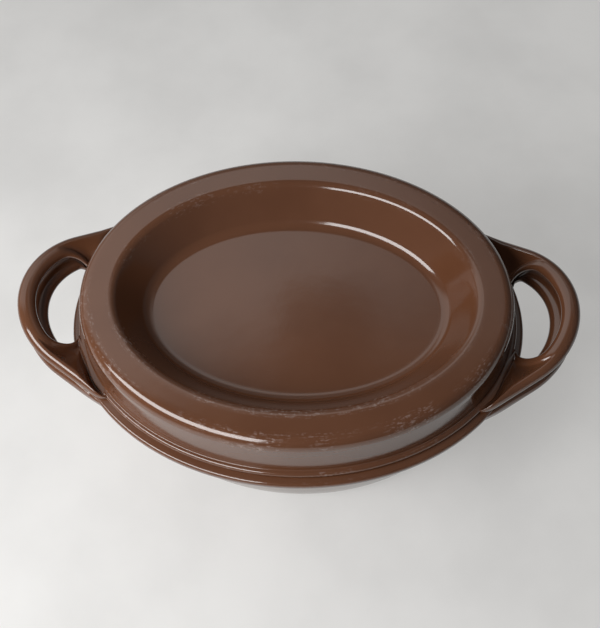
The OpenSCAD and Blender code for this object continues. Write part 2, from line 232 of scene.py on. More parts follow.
class StageLook(bpy.types.PropertyGroup):
    """Camera, floor and light."""

    elevation: angle("Elevation", "Height of the camera above the horizon", 62.59)
    azimuth: angle("Azimuth", "Turn of the camera round the oven", 5.08)
    roll: angle("Roll", "Turn of the camera about its line of sight", -2.77)
    distance: mm("Distance", "Distance of the camera from its target", 521.38)
    target: position("Target", "Point that the camera looks at", (2.1 * MM, 2.88 * MM, 104 * MM))
    lens: FloatProperty(name="Lens", description="Focal length of the camera", default=45.86,
                        min=1.0, unit="CAMERA")
    floor: colour("Floor", "Colour of the floor", (0.47, 0.466, 0.458))
    glow: colour("Glow", "Colour that the floor shows but doesn't shine", (1, 0.99, 0.97))
    near_glow: share("Near glow", "Strength of the floor's glow near the oven", 0.37)
    far_glow: share("Far glow", "Strength of the floor's glow far from the oven", 0.56)
    backdrop: colour("Backdrop", "Pale background behind the floor", (0.6, 0.595, 0.585))
    walls: colour("Walls", "Light from the wall behind and on the left", (0.7, 0.7, 0.69))
    ceiling: colour("Ceiling", "Light from the ceiling and the near side", (0.05, 0.049, 0.048))
    mirrored: share("Mirrored", "Part of the backdrop that the enamel mirrors", 0.06)
    softbox: lamp_power("Softbox", "Power of the softbox on the left", 6)
    softbox_place: position("Softbox place", "Middle of the softbox", (-0.45, -0.36, 0.56))
    softbox_size: length("Softbox size", "Width and height of the softbox", 0.5)
    window: lamp_power("Window", "Power of the window that the enamel mirrors", 6.2)
    window_turn: angle("Window turn", "Direction of the window round the oven", -135)
    window_distance: length("Window distance", "Distance of the window on the floor", 0.55)
    window_low: length("Window sill", "Height of the window's lower edge", 0.44)
    window_high: length("Window head", "Height of the window's upper edge", 0.9)
    window_width: length("Window width", "Width of the window", 0.714)
    window_echo: share("Window echo", "Strength of the window when mirrored twice", 0.4)


# Mesh helpers

def settings():
    """The scene's settings for the oven."""
    return bpy.context.scene.dutch_oven


def finish_piece(name, bm, materials, body, nodes):
    """Makes a closed, smooth piece of the mesh and lets it stand for its CAD nodes."""
    bmesh.ops.recalc_face_normals(bm, faces=bm.faces[:])
    for face in bm.faces:
        face.smooth = True
    mesh = bpy.data.meshes.new(name)
    bm.to_mesh(mesh)
    bm.free()
    for material in materials:
        mesh.materials.append(material)
    piece = bpy.data.objects.new(name, mesh)
    bpy.context.scene.collection.objects.link(piece)
    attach(piece, body)
    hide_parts(*nodes)
    return piece


def corner_cut(before, here, after, radius):
    """Length that a rounded corner takes off both of its sides."""
    back = Vector(before[:2]) - Vector(here[:2])
    ahead = Vector(after[:2]) - Vector(here[:2])
    return radius / math.tan(back.angle(ahead) / 2)


def draw_section(bm, corners, closed):
    """Draws a section beside the Z axis from (offset, height, radius, wear, dark) corners."""
    half_width = settings().oval.half_width
    wear = bm.verts.layers.float.new(WEAR)
    dark = bm.verts.layers.float.new(DARK)
    verts = []
    for offset, height, _, worn, inside in corners:
        vert = bm.verts.new((half_width + offset, 0, height))
        vert[wear] = worn
        vert[dark] = inside
        verts.append(vert)
    for first, second in zip(verts, verts[1:]):
        bm.edges.new((first, second))
    if closed:
        bm.edges.new((verts[-1], verts[0]))
    for index, vert in enumerate(verts):
        radius = corners[index][2]
        if radius:
            after = corners[(index + 1) % len(corners)]
            cut = corner_cut(corners[index - 1], corners[index], after, radius)
            bmesh.ops.bevel(bm, geom=[vert], offset=cut, offset_type="OFFSET", affect="VERTICES",
                            segments=ROUND_STEPS, profile=CIRCLE, material=-1)


def spin_round_oval(bm):
    """Spins the section about the Z axis and draws the ring out to the oval."""
    oval = settings().oval
    stretch = oval.half_length - oval.half_width
    grain = bm.verts.layers.float_vector.new(GRAIN)
    bmesh.ops.spin(bm, geom=bm.verts[:] + bm.edges[:], cent=(0, 0, 0), axis=(0, 0, 1),
                   angle=math.tau, steps=oval.steps, use_merge=True)
    for vert in bm.verts:
        radius = math.hypot(vert.co.x, vert.co.y)
        vert[grain] = (vert.co.x / radius, vert.co.y / radius, radius * GRAIN_ACROSS)
        vert.co.x += stretch * vert.co.x / radius
        if radius < 2 * MIDDLE:
            vert.co.y = 0
    bmesh.ops.remove_doubles(bm, verts=bm.verts[:], dist=DOUBLES)


def darken_inside(bm):
    """Gives the second material to every face that has a corner on the dark inside."""
    dark = bm.verts.layers.float[DARK]
    for face in bm.faces:
        face.material_index = int(any(vert[dark] > DARK_FROM for vert in face.verts))


def loft(bm, rings):
    """Draws a tube through rings of points by extruding the first ring from one to the next."""
    verts = [bm.verts.new(point) for point in rings[0]]
    edges = [bm.edges.new(pair) for pair in zip(verts, verts[1:] + verts[:1])]
    bm.faces.new(verts)
    for ring in rings[1:]:
        made = bmesh.ops.extrude_edge_only(bm, edges=edges)["geom"]
        fresh = {item for item in made if isinstance(item, bmesh.types.BMVert)}
        edges = [item for item in made if isinstance(item, bmesh.types.BMEdge)]
        moved = []
        for vert, point in zip(verts, ring):
            copy = next(edge.other_vert(vert) for edge in vert.link_edges
                        if edge.other_vert(vert) in fresh)
            copy.co = point
            moved.append(copy)
        edges = [edge for edge in edges if all(vert in fresh for vert in edge.verts)]
        verts = moved
    bm.faces.new(verts)


# Sections of the castings

# Radii of the small edges
HOLLOW_ROUND = 0.8 * MM
FOOT_ROUND = 0.5 * MM
MOUTH_ROUND = 1 * MM
BRIM_UNDER_ROUND = 0.8 * MM
SEAT_ROUND = 0.5 * MM

# Points beside the roundings keep the flats between them flat under smooth shading
POT_BASE_FLAT = 30 * MM
LIP_FLAT = 5 * MM
WELL_FLOOR_FLAT = 0.7
WELL_WALL_FLAT = 7 * MM
WELL_EDGE_FLAT = 6 * MM
SHOULDER_FLAT = 10 * MM
CROWN_FLAT = (3 * MM, 12 * MM)


def pot_section():
    """Corners of the pot's section, from the middle of the base to the middle of the floor."""
    pot = settings().pot
    middle = MIDDLE - settings().oval.half_width
    slope = math.tan(pot.draft)
    lip_under = pot.rim_height - pot.lip_height
    wall_foot = -pot.overhang - lip_under * slope
    foot = wall_foot - pot.corner - pot.foot
    land = -pot.overhang - pot.wall / math.cos(pot.draft) + pot.lip_height * slope
    inner_foot = land - (pot.rim_height - pot.floor) * slope
    return [
        (middle, pot.hollow, 0, 0, 0),
        (foot, pot.hollow, HOLLOW_ROUND, 0, 0),
        (foot + pot.hollow, 0, FOOT_ROUND, 0.6, 0),
        (wall_foot, 0, pot.corner, 0.2, 0),
        (wall_foot + POT_BASE_FLAT * slope, POT_BASE_FLAT, 0, 0, 0),
        (-pot.overhang - LIP_FLAT * slope, lip_under - LIP_FLAT, 0, 0, 0),
        (-pot.overhang, lip_under, pot.lip_root_round, 0, 0),
        (0, lip_under, pot.lip_under_round, 0.2, 0),
        (0, pot.rim_height, pot.lip_round, 0.5, 0),
        (-pot.overhang, pot.rim_height, 0, 0, 0),
        (land, pot.rim_height, MOUTH_ROUND, 0, 1),
        (land - LIP_FLAT * slope, pot.rim_height - LIP_FLAT, 0, 0, 1),
        (inner_foot, pot.floor, pot.corner - pot.wall, 0, 1),
        (inner_foot - pot.corner, pot.floor, 0, 0, 1),
        (middle, pot.floor, 0, 0, 1),
    ]


def lid_section():
    """Corners of the lid's section, from the middle of the well to the middle of its underside."""
    lid = settings().lid
    middle = MIDDLE - settings().oval.half_width
    well_floor = lid.top - lid.well_depth
    brim_top = lid.seat + lid.brim
    under = lid.top - lid.wall
    slope = (lid.well_foot - lid.well_edge) / lid.well_depth
    back = lid.wall * math.sqrt(1 + slope * slope) - lid.well_edge
    rib_inner = lid.rib_outer + lid.rib_width
    return [
        (middle, well_floor, 0, 0, 0),
        (-lid.well_foot - WELL_FLOOR_FLAT * lid.well_fillet, well_floor, 0, 0, 0),
        (-lid.well_foot, well_floor, lid.well_fillet, 0, 0),
        (-lid.well_edge - WELL_WALL_FLAT * slope, lid.top - WELL_WALL_FLAT, 0, 0, 0),
        (-lid.well_edge, lid.top, lid.well_edge_round, 1, 0),
        (-lid.well_edge + WELL_EDGE_FLAT, lid.top, 0, 0, 0),
        (-lid.crown_top - SHOULDER_FLAT, lid.top, 0, 0, 0),
        (-lid.crown_top, lid.top, lid.shoulder, 1, 0),
        (-lid.crown_foot - CROWN_FLAT[0], lid.top - CROWN_FLAT[1], 0, 0, 0),
        (-lid.crown_foot, brim_top, lid.crown_foot_round, 0, 0),
        (-lid.brim_inset, brim_top, lid.brim_round, 0.7, 0),
        (-lid.brim_inset, lid.seat, BRIM_UNDER_ROUND, 0, 0),
        (-rib_inner, lid.seat, SEAT_ROUND, 0, 1),
        (-lid.crown_top - lid.wall, under, lid.under_round, 0, 1),
        (back - lid.wall * slope, under, lid.under_round, 0, 1),
        (back - (lid.well_depth + lid.wall) * slope, well_floor - lid.wall, lid.under_round, 0, 1),
        (middle, well_floor - lid.wall, 0, 0, 1),
    ]


# Loop handles

def mix(first, second, part):
    """Value or point between two others."""
    return first + (second - first) * part


def ease(part):
    """Smooth step from 0 to 1."""
    return part * part * (3 - 2 * part)


def polar(middle, radius, turn):
    """Point in plan at an angle round a middle on the X axis."""
    return Vector((middle + radius * math.cos(turn), radius * math.sin(turn)))


class Loop:
    """Plan and sections of one loop handle on the oval's right end."""

    # Sections in each zone, and points on the parts of each section
    ZONE_STEPS = 14
    BAR_STEPS = 14
    WEB_STEPS = 14
    EDGE_STEPS = 8

    # Bar, and root in the casting
    BAR_FLAT = 1.2 * MM
    ROOT_REACH = 7 * MM
    ROOT_WIDTH = 0.6 * MM
    ROOT_SUNK = 1.2 * MM
    ROOT_SHORT = math.radians(3)

    # Parts of the web's length and width
    LEG_PART = 0.67
    HALF_SHARE = 0.5
    FLANGE_SHARE = 0.6
    DISH_SHARE = 0.22
    VALLEY = 0.84
    VALLEY_CURVE = 1.4
    LEVEL_SHARE = 0.08
    LEVEL_START = 0.6
    UNDER = 0.25

    # How soon the web sinks in and its flange widens
    SINK_RATE = 4
    FLANGE_RATE = 6

    # Settings that the lid and the pot each have
    SIZES = ("centre", "leg", "width", "thickness", "web", "hole", "dish", "sunk")

    def __init__(self, body, **places):
        self.plan = settings().loop
        self.oval = settings().oval
        for key in self.SIZES:
            setattr(self, key, getattr(self.plan, f"{body}_{key}"))
        for key, value in places.items():
            setattr(self, key, value)
        self.edge_radius = self.plan.radius + self.width / 2
        self.find_hole()
        arc = self.edge_radius * self.plan.half_angle
        self.turn_run = self.edge_radius * self.hole_turn
        self.fan_run = arc + self.fan
        self.leg_run = arc + self.leg

    def find_hole(self):
        """Places the round end of the finger hole against the bar and the casting."""
        gap = self.centre - self.oval.end_centre
        near = self.plan.radius - self.width / 2 - self.hole
        far = self.oval.end_radius + self.seat + self.hole
        self.hole_turn = math.acos((far * far - gap * gap - near * near) / (2 * gap * near))
        self.hole_centre = polar(self.centre, near, self.hole_turn)
        self.hole_seat = math.atan2(self.hole_centre.y, self.hole_centre.x - self.oval.end_centre)

    def end_point(self, offset, turn):
        """Point on the oval's end arc at an offset from the lip."""
        return polar(self.oval.end_centre, self.oval.end_radius + offset, turn)

    def edge_turn(self, run):
        """Angle of the loop's outer edge at a length along it."""
        return min(self.plan.half_angle, run / self.edge_radius)

    def edge_point(self, run):
        """Point on the loop's outer edge: its arc, then its straight leg."""
        turn = self.edge_turn(run)
        leg = run - turn * self.edge_radius
        along = Vector((-math.sin(turn), math.cos(turn)))
        return polar(self.centre, self.edge_radius, turn) + leg * along

    def root_part(self, part):
        """How far a station of zone 2 is past the straight leg."""
        return max(0, (part - self.LEG_PART) / (1 - self.LEG_PART))

    def outer_end(self, zone, part):
        """Outer end and inward way of a section in zone 0 (bar), 1 (round the hole) or 2 (web)."""
        if zone == 0:
            run = self.turn_run * part
        elif zone == 1:
            run = mix(self.turn_run, self.fan_run, part)
        else:
            run = mix(self.fan_run, self.leg_run, min(1, part / self.LEG_PART))
        turn = self.edge_turn(run)
        point = self.edge_point(run)
        if zone == 2:
            root = self.root_part(part)
            bend = self.edge_point(self.leg_run + self.ROOT_REACH)
            tip = self.end_point(self.seat - self.ROOT_SUNK, self.plan.root_angle)
            point = mix(mix(point, bend, root), mix(bend, tip, root), root)
        return point, -Vector((math.cos(turn), math.sin(turn)))

    def inner_end(self, zone, part):
        """Inner end of a section: on the bar, round the hole or in the casting."""
        if zone == 0:
            return polar(self.centre, self.plan.radius - self.width / 2, self.hole_turn * part)
        if zone == 1:
            turn = mix(self.hole_turn, math.pi + self.hole_seat, part)
            return self.hole_centre + self.hole * Vector((math.cos(turn), math.sin(turn)))
        turn = mix(self.hole_seat, self.plan.root_angle - self.ROOT_SHORT, part)
        sink = self.sunk * ease(min(1, self.SINK_RATE * part))
        return self.end_point(self.seat - sink, turn)

    def web_top(self, across, top, flat, dish):
        """Height of the web from the bar down to a valley and up to the level flange."""
        if across < self.VALLEY:
            return mix(top, flat - dish, 1 - (1 - across / self.VALLEY) ** self.VALLEY_CURVE)
        return mix(flat - dish, flat, ease((across - self.VALLEY) / (1 - self.VALLEY)))

    def section(self, zone, part):
        """Points of one section: round bar, dished web, edge and underside."""
        fade = ease(self.root_part(part)) if zone == 2 else 0
        web = (0, ease(part), 1)[zone]
        half = mix(self.width - self.BAR_FLAT, self.ROOT_WIDTH, fade) / 2
        outer, inwards = self.outer_end(zone, part)
        if zone == 2:
            reach = math.hypot(outer.x - self.oval.end_centre, outer.y)
            room = reach - self.oval.end_radius - self.seat
            half = max(self.ROOT_WIDTH / 4, min(half, self.HALF_SHARE * room))
        middle = outer + inwards * half
        rise = self.height + (middle.x - self.plan.pivot) * math.tan(self.plan.rise)
        top = mix(rise + self.thickness / 2, self.web_level + self.web / 2, fade)
        bottom = mix(rise - self.thickness / 2, self.web_level - self.web / 2, fade)
        bottom = max(self.lowest, bottom)
        edge = self.inner_end(zone, part)
        level = mix(rise, self.web_level, web)
        tall = mix(self.thickness, self.web, web) / 2
        depth = mix((self.width - self.BAR_FLAT) / 2, self.web / 2, web)
        edge_middle = edge - (edge - middle).normalized() * depth
        reach = (edge_middle - middle).length
        dish = min(self.dish, self.DISH_SHARE * reach) * web * (1 - fade)
        flange = self.LEVEL_SHARE
        if zone == 2:
            wide = min(self.FLANGE_SHARE, max(flange, self.flange / reach))
            flange = mix(flange, wide, ease(min(1, self.FLANGE_RATE * part)))
        points = []
        for step in range(self.BAR_STEPS + 1):
            turn = math.pi * (step / self.BAR_STEPS - 0.5)
            place = middle - inwards * half * math.cos(turn)
            points.append((*place, mix(bottom, top, (1 + math.sin(turn)) / 2)))
        for step in range(1, self.WEB_STEPS - 1):
            across = step / (self.WEB_STEPS - 2)
            high = self.web_top(across, top, level + tall, dish)
            points.append((*mix(middle, edge_middle, across * (1 - flange)), high))
        flange_start = mix(middle, edge_middle, 1 - self.LEVEL_START * flange)
        points.append((*flange_start, level + tall))
        for step in range(self.EDGE_STEPS + 1):
            turn = math.pi * (0.5 - step / self.EDGE_STEPS)
            place = mix(edge_middle, edge, math.cos(turn))
            points.append((*place, level + tall * math.sin(turn)))
        for step in range(1, self.WEB_STEPS):
            across = step / self.WEB_STEPS
            belly = self.UNDER * dish * math.sin(math.pi * across)
            low = mix(level - tall, bottom, across) - belly
            points.append((*mix(edge_middle, middle, across), low))
        return points

    def rings(self):
        """Sections from one root round the bar to the other root."""
        last = 3 * self.ZONE_STEPS
        rings = []
        for index in range(-last, last + 1):
            zone = min(2, abs(index) // self.ZONE_STEPS)
            side = (index > 0) - (index < 0)
            section = self.section(zone, abs(index) / self.ZONE_STEPS - zone)
            rings.append([(x, side * y, z) for x, y, z in section])
        return rings


def lid_loop():
    """The lid's loop, cast on the brim."""
    sizes, lid = settings().loop, settings().lid
    lowest = lid.seat + sizes.lid_clearance
    return Loop("lid", height=lid.seat + sizes.lid_height, web_level=lowest + sizes.lid_web / 2,
                seat=-lid.brim_inset, lowest=lowest, flange=sizes.lid_flange, fan=sizes.lid_fan)


def pot_loop():
    """The pot's loop, cast on the lip."""
    sizes, pot = settings().loop, settings().pot
    return Loop("pot", height=pot.rim_height - sizes.pot_depth,
                web_level=pot.rim_height - pot.lip_height / 2, seat=0, lowest=0, flange=0, fan=0)


def add_loops(loop, body):
    """Lofts a loop for the right end of the oval and its twin for the left end."""
    for side, turn in (("right", 0), ("left", math.pi)):
        bm = bmesh.new()
        loft(bm, loop.rings())
        bmesh.ops.rotate(bm, verts=bm.verts[:], cent=(0, 0, 0),
                         matrix=Matrix.Rotation(turn, 3, "Z"))
        piece = finish_piece(f"{body}_loop_{side}", bm, [brown_enamel()], body,
                             [f"{body}_handle_{side}"])
        smooth = piece.modifiers.new("Smooth", "SUBSURF")
        smooth.levels = smooth.render_levels = 1


# Materials

# Layout of the node trees
NODE_ROWS = 6
NODE_WIDTH = 220
NODE_HEIGHT = 260
OUTPUT_PLACE = 2000


def move_to_end(*nodes):
    """Moves the last nodes of a tree to its right end."""
    for step, node in enumerate(nodes):
        node.location = (OUTPUT_PLACE + step * NODE_WIDTH, 0)


def new_group(name, inputs, outputs):
    """Starts a shader node group with its sockets."""
    group = bpy.data.node_groups.new(name, "ShaderNodeTree")
    for way, labels in (("INPUT", inputs), ("OUTPUT", outputs)):
        for label in labels:
            group.interface.new_socket(label, in_out=way, socket_type="NodeSocketFloat")
    return group


def add_node(tree, kind, **values):
    """Adds a node with its properties and the values of its inputs, in the next free place."""
    node = tree.nodes.new(kind)
    column, row = divmod(len(tree.nodes), NODE_ROWS)
    node.location = (column * NODE_WIDTH, -row * NODE_HEIGHT)
    for key, value in values.items():
        if key in node.inputs:
            node.inputs[key].default_value = value
        else:
            setattr(node, key, value)
    return node


def add_noise(tree, scale, detail):
    """Adds a noise texture on Object coordinates."""
    where = add_node(tree, "ShaderNodeTexCoord")
    noise = add_node(tree, "ShaderNodeTexNoise", Scale=scale, Detail=detail)
    tree.links.new(where.outputs["Object"], noise.inputs["Vector"])
    return noise.outputs["Fac"]


def add_math(tree, operation, first, second):
    """Adds a sum, product or other step on two values or sockets."""
    node = add_node(tree, "ShaderNodeMath", operation=operation)
    for socket, value in zip(node.inputs, (first, second)):
        if isinstance(value, (int, float)):
            socket.default_value = value
        else:
            tree.links.new(value, socket)
    return node.outputs["Value"]


def add_product(tree, product, *parts):
    """Adds the product of several values."""
    for part in parts:
        product = add_math(tree, "MULTIPLY", product, part)
    return product


def add_range(tree, value, low, high, start=0, end=1):
    """Adds a smooth step from start to end as a value goes from low to high."""
    node = add_node(tree, "ShaderNodeMapRange", interpolation_type="SMOOTHSTEP")
    for key, limit in (("From Min", low), ("From Max", high), ("To Min", start), ("To Max", end)):
        node.inputs[key].default_value = limit
    tree.links.new(value, node.inputs["Value"])
    return node.outputs["Result"]


# Scale and detail of the enamel's noises, and the range of each that shows
PEEL = (420, 2)
PEEL_PART = 0.25
WAVE = (60, 1)
COAT, COAT_RANGE = (22, 3), (0.35, 0.7)
PATCH, PATCH_RANGE = (30, 3), (0.4, 0.62)
FLECK, FLECK_RANGE = (420, 2), (0.4, 0.6)
STREAK, STREAK_RANGE = {"Scale": 22, "Detail": 3, "Roughness": 0.6}, (0.47, 0.63)
EDGE_RANGE = (0.3, 0.95)
NEAR_SIDE = (0.3, -0.5, 0.45, 1)


def enamel_flow_group():
    """Node group for the fired coat: its fine ripple and its thick and thin places."""
    name = "Enamel flow"
    if name in bpy.data.node_groups:
        return bpy.data.node_groups[name]
    group = new_group(name, [], ["Height", "Thickness"])
    out = add_node(group, "NodeGroupOutput")
    peel = add_noise(group, *PEEL)
    wave = add_noise(group, *WAVE)
    coat = add_noise(group, *COAT)
    fine = add_math(group, "MULTIPLY", peel, PEEL_PART)
    group.links.new(add_math(group, "ADD", fine, wave), out.inputs["Height"])
    group.links.new(add_range(group, coat, *COAT_RANGE), out.inputs["Thickness"])
    move_to_end(out)
    return group


def rubbed_edge_group():
    """Node group for rubbed places: scuffs along the casting where the edge value is high."""
    name = "Rubbed edge"
    if name in bpy.data.node_groups:
        return bpy.data.node_groups[name]
    group = new_group(name, ["Edge", "Amount"], ["Mask"])
    into = add_node(group, "NodeGroupInput")
    out = add_node(group, "NodeGroupOutput")
    along = add_node(group, "ShaderNodeAttribute", attribute_name=GRAIN)
    streak = add_node(group, "ShaderNodeTexNoise", **STREAK)
    turn = add_node(group, "ShaderNodeSeparateXYZ")
    for node in (streak, turn):
        group.links.new(along.outputs["Vector"], node.inputs["Vector"])
    near = add_range(group, turn.outputs["Y"], *NEAR_SIDE)
    edge = add_range(group, into.outputs["Edge"], *EDGE_RANGE)
    scuff = add_range(group, streak.outputs["Fac"], *STREAK_RANGE)
    patch = add_range(group, add_noise(group, *PATCH), *PATCH_RANGE)
    fleck = add_range(group, add_noise(group, *FLECK), *FLECK_RANGE)
    mask = add_product(group, into.outputs["Amount"], near, edge, scuff, patch, fleck)
    group.links.new(mask, out.inputs["Mask"])
    move_to_end(out)
    return group


def new_material(name):
    """Starts a material with its shader and output."""
    material = bpy.data.materials.new(name)
    material.use_nodes = True
    tree = material.node_tree
    tree.nodes.clear()
    shader = add_node(tree, "ShaderNodeBsdfPrincipled")
    out = add_node(tree, "ShaderNodeOutputMaterial")
    tree.links.new(shader.outputs["BSDF"], out.inputs["Surface"])
    move_to_end(shader, out)
    return material, tree, shader


# Sockets of a mix of colours
MIX_COLOURS = slice(6, 8)
MIX_RESULT = 2


def add_mix(tree, factor, first, second):
    """Adds a mix of two colours, each a colour or a socket."""
    node = add_node(tree, "ShaderNodeMix", data_type="RGBA")
    tree.links.new(factor, node.inputs["Factor"])
    for socket, value in zip(node.inputs[MIX_COLOURS], (first, second)):
        if isinstance(value, bpy.types.NodeSocket):
            tree.links.new(value, socket)
        else:
            socket.default_value = (*value, 1)
    return node.outputs[MIX_RESULT]


def new_enamel(name, ripple):
    """Starts an enamel with its refraction, its ripple and its thick and thin places."""
    material, tree, shader = new_material(name)
    shader.inputs["IOR"].default_value = settings().look.refraction
    flow = add_node(tree, "ShaderNodeGroup", node_tree=enamel_flow_group())
    bump = add_node(tree, "ShaderNodeBump", Strength=1.0, Distance=ripple)
    tree.links.new(flow.outputs["Height"], bump.inputs["Height"])
    tree.links.new(bump.outputs["Normal"], shader.inputs["Normal"])
    return material, tree, shader, flow.outputs["Thickness"]


def add_roughness(tree, shader, mask, more, least):
    """Makes a shader rougher where a mask is high."""
    dull = add_math(tree, "MULTIPLY", mask, more)
    tree.links.new(add_math(tree, "ADD", dull, least), shader.inputs["Roughness"])


def brown_enamel():
    """Glossy brown enamel, rubbed along its edges."""
    name = "brown_enamel"
    if name in bpy.data.materials:
        return bpy.data.materials[name]
    look = settings().look
    material, tree, shader, thickness = new_enamel(name, look.ripple)
    edge = add_node(tree, "ShaderNodeAttribute", attribute_name=WEAR)
    rubbed = add_node(tree, "ShaderNodeGroup", node_tree=rubbed_edge_group(), Amount=look.rub)
    tree.links.new(edge.outputs["Fac"], rubbed.inputs["Edge"])
    mask = rubbed.outputs["Mask"]
    coat = add_mix(tree, thickness, look.brown_light, look.brown)
    coat = add_mix(tree, mask, coat, look.worn)
    tree.links.new(coat, shader.inputs["Base Color"])
    add_roughness(tree, shader, mask, look.dull, look.gloss)
    return material


def black_enamel():
    """Satin black enamel of the inside."""
    name = "black_enamel"
    if name in bpy.data.materials:
        return bpy.data.materials[name]
    look = settings().look
    material, tree, shader, thickness = new_enamel(name, look.inner_ripple)
    coat = add_mix(tree, thickness, look.black, look.black_light)
    tree.links.new(coat, shader.inputs["Base Color"])
    add_roughness(tree, shader, thickness, look.satin_spread, look.satin)
    return material


def add_clear_back(tree, shader):
    """Lets a material be seen through from behind."""
    side = add_node(tree, "ShaderNodeNewGeometry")
    clear = add_node(tree, "ShaderNodeBsdfTransparent")
    blend = add_node(tree, "ShaderNodeMixShader")
    tree.links.new(side.outputs["Backfacing"], blend.inputs["Fac"])
    tree.links.new(shader.outputs["BSDF"], blend.inputs[1])
    tree.links.new(clear.outputs["BSDF"], blend.inputs[2])
    out = next(node for node in tree.nodes if node.type == "OUTPUT_MATERIAL")
    tree.links.new(blend.outputs["Shader"], out.inputs["Surface"])
    move_to_end(shader, blend, out)


def add_seen(tree, mirrored=1.0):
    """Adds a mask that is 1 for the camera and through glass, and partly so in reflections."""
    path = add_node(tree, "ShaderNodeLightPath")
    direct = add_math(tree, "MAXIMUM", path.outputs["Is Camera Ray"],
                      path.outputs["Is Transmission Ray"])
    glossy = add_math(tree, "MULTIPLY", path.outputs["Is Glossy Ray"], mirrored)
    return add_math(tree, "MAXIMUM", direct, glossy)


# The floor's clouds, and the distances between which its glow changes
CLOUD, CLOUD_RANGE = (9, 6), (0.3, 0.75)
CLOUD_LEVEL = 0.9
GLOW_REACH = (0.5, 2.2)
FLOOR_ROUGHNESS = 0.8
FLOOR_REACH = 6
FLOOR_GAP = 0.2 * MM


def pale_floor():
    """Pale, faintly clouded floor."""
    stage = settings().stage
    material, tree, shader = new_material("pale_floor")
    shader.inputs["Roughness"].default_value = FLOOR_ROUGHNESS
    cloud = add_range(tree, add_noise(tree, *CLOUD), *CLOUD_RANGE)
    for socket, pale in (("Base Color", stage.floor), ("Emission Color", stage.glow)):
        clouded = tuple(CLOUD_LEVEL * part for part in pale)
        tree.links.new(add_mix(tree, cloud, pale, clouded), shader.inputs[socket])
    where = add_node(tree, "ShaderNodeTexCoord")
    reach = add_node(tree, "ShaderNodeVectorMath", operation="LENGTH")
    tree.links.new(where.outputs["Object"], reach.inputs[0])
    level = add_range(tree, reach.outputs["Value"], *GLOW_REACH, stage.near_glow, stage.far_glow)
    glow = add_math(tree, "MULTIPLY", add_seen(tree), level)
    tree.links.new(glow, shader.inputs["Emission Strength"])
    add_clear_back(tree, shader)
    return material


# Operators

def add_casting(name, corners, body, nodes):
    """Spins a casting from its section, brown outside and black inside."""
    bm = bmesh.new()
    draw_section(bm, corners, closed=False)
    spin_round_oval(bm)
    darken_inside(bm)
    finish_piece(name, bm, [brown_enamel(), black_enamel()], body, nodes)


class BuildOperator(bpy.types.Operator):
    """Common base of the oven's operators."""

    bl_options = {"REGISTER", "UNDO"}


class OVEN_OT_pot_casting(BuildOperator):
    """Spins the pot: foot, wall, lip and inside"""

    bl_idname = "dutch_oven.pot_casting"
    bl_label = "Pot Casting"

    def execute(self, context):
        add_casting("pot_casting", pot_section(), "pot", ["pot_body", "pot_rim"])
        return {"FINISHED"}


class OVEN_OT_pot_loops(BuildOperator):
    """Lofts the pot's two loop handles"""

    bl_idname = "dutch_oven.pot_loops"
    bl_label = "Pot Loops"

    def execute(self, context):
        add_loops(pot_loop(), "pot")
        return {"FINISHED"}


class OVEN_OT_lid_casting(BuildOperator):
    """Spins the lid: well, crown, brim and underside"""

    bl_idname = "dutch_oven.lid_casting"
    bl_label = "Lid Casting"

    def execute(self, context):
        add_casting("lid_casting", lid_section(), "lid", ["lid_well", "lid_crown", "lid_brim"])
        return {"FINISHED"}


class OVEN_OT_lid_loops(BuildOperator):
    """Lofts the lid's two loop handles"""

    bl_idname = "dutch_oven.lid_loops"
    bl_label = "Lid Loops"

    def execute(self, context):
        add_loops(lid_loop(), "lid")
        return {"FINISHED"}


# Roundings of the rib and the studs, their depth in the lid, so that no gap shows, and faces
RIB_ROUND = 1 * MM
STUD_ROUND = 0.9 * MM
RIB_SUNK = 0.4 * MM
STUD_SUNK = 0.3 * MM
STUD_SIDES = 24
STUD_ROUND_STEPS = 3


class OVEN_OT_lid_rib(BuildOperator):
    """Spins the rib that centres the lid in the pot"""

    bl_idname = "dutch_oven.lid_rib"
    bl_label = "Lid Rib"

    def execute(self, context):
        lid = settings().lid
        root = lid.seat + RIB_SUNK
        inner = lid.rib_outer + lid.rib_width
        bm = bmesh.new()
        draw_section(bm, [(-lid.rib_outer, root, 0, 0, 1),
                          (-lid.rib_outer, RIB_FOOT, RIB_ROUND, 0.5, 1),
                          (-inner, RIB_FOOT, RIB_ROUND, 0.5, 1),
                          (-inner, root, 0, 0, 1)], closed=True)
        spin_round_oval(bm)
        finish_piece("lid_rib", bm, [black_enamel()], "lid", ["lid_locating_rib"])
        return {"FINISHED"}


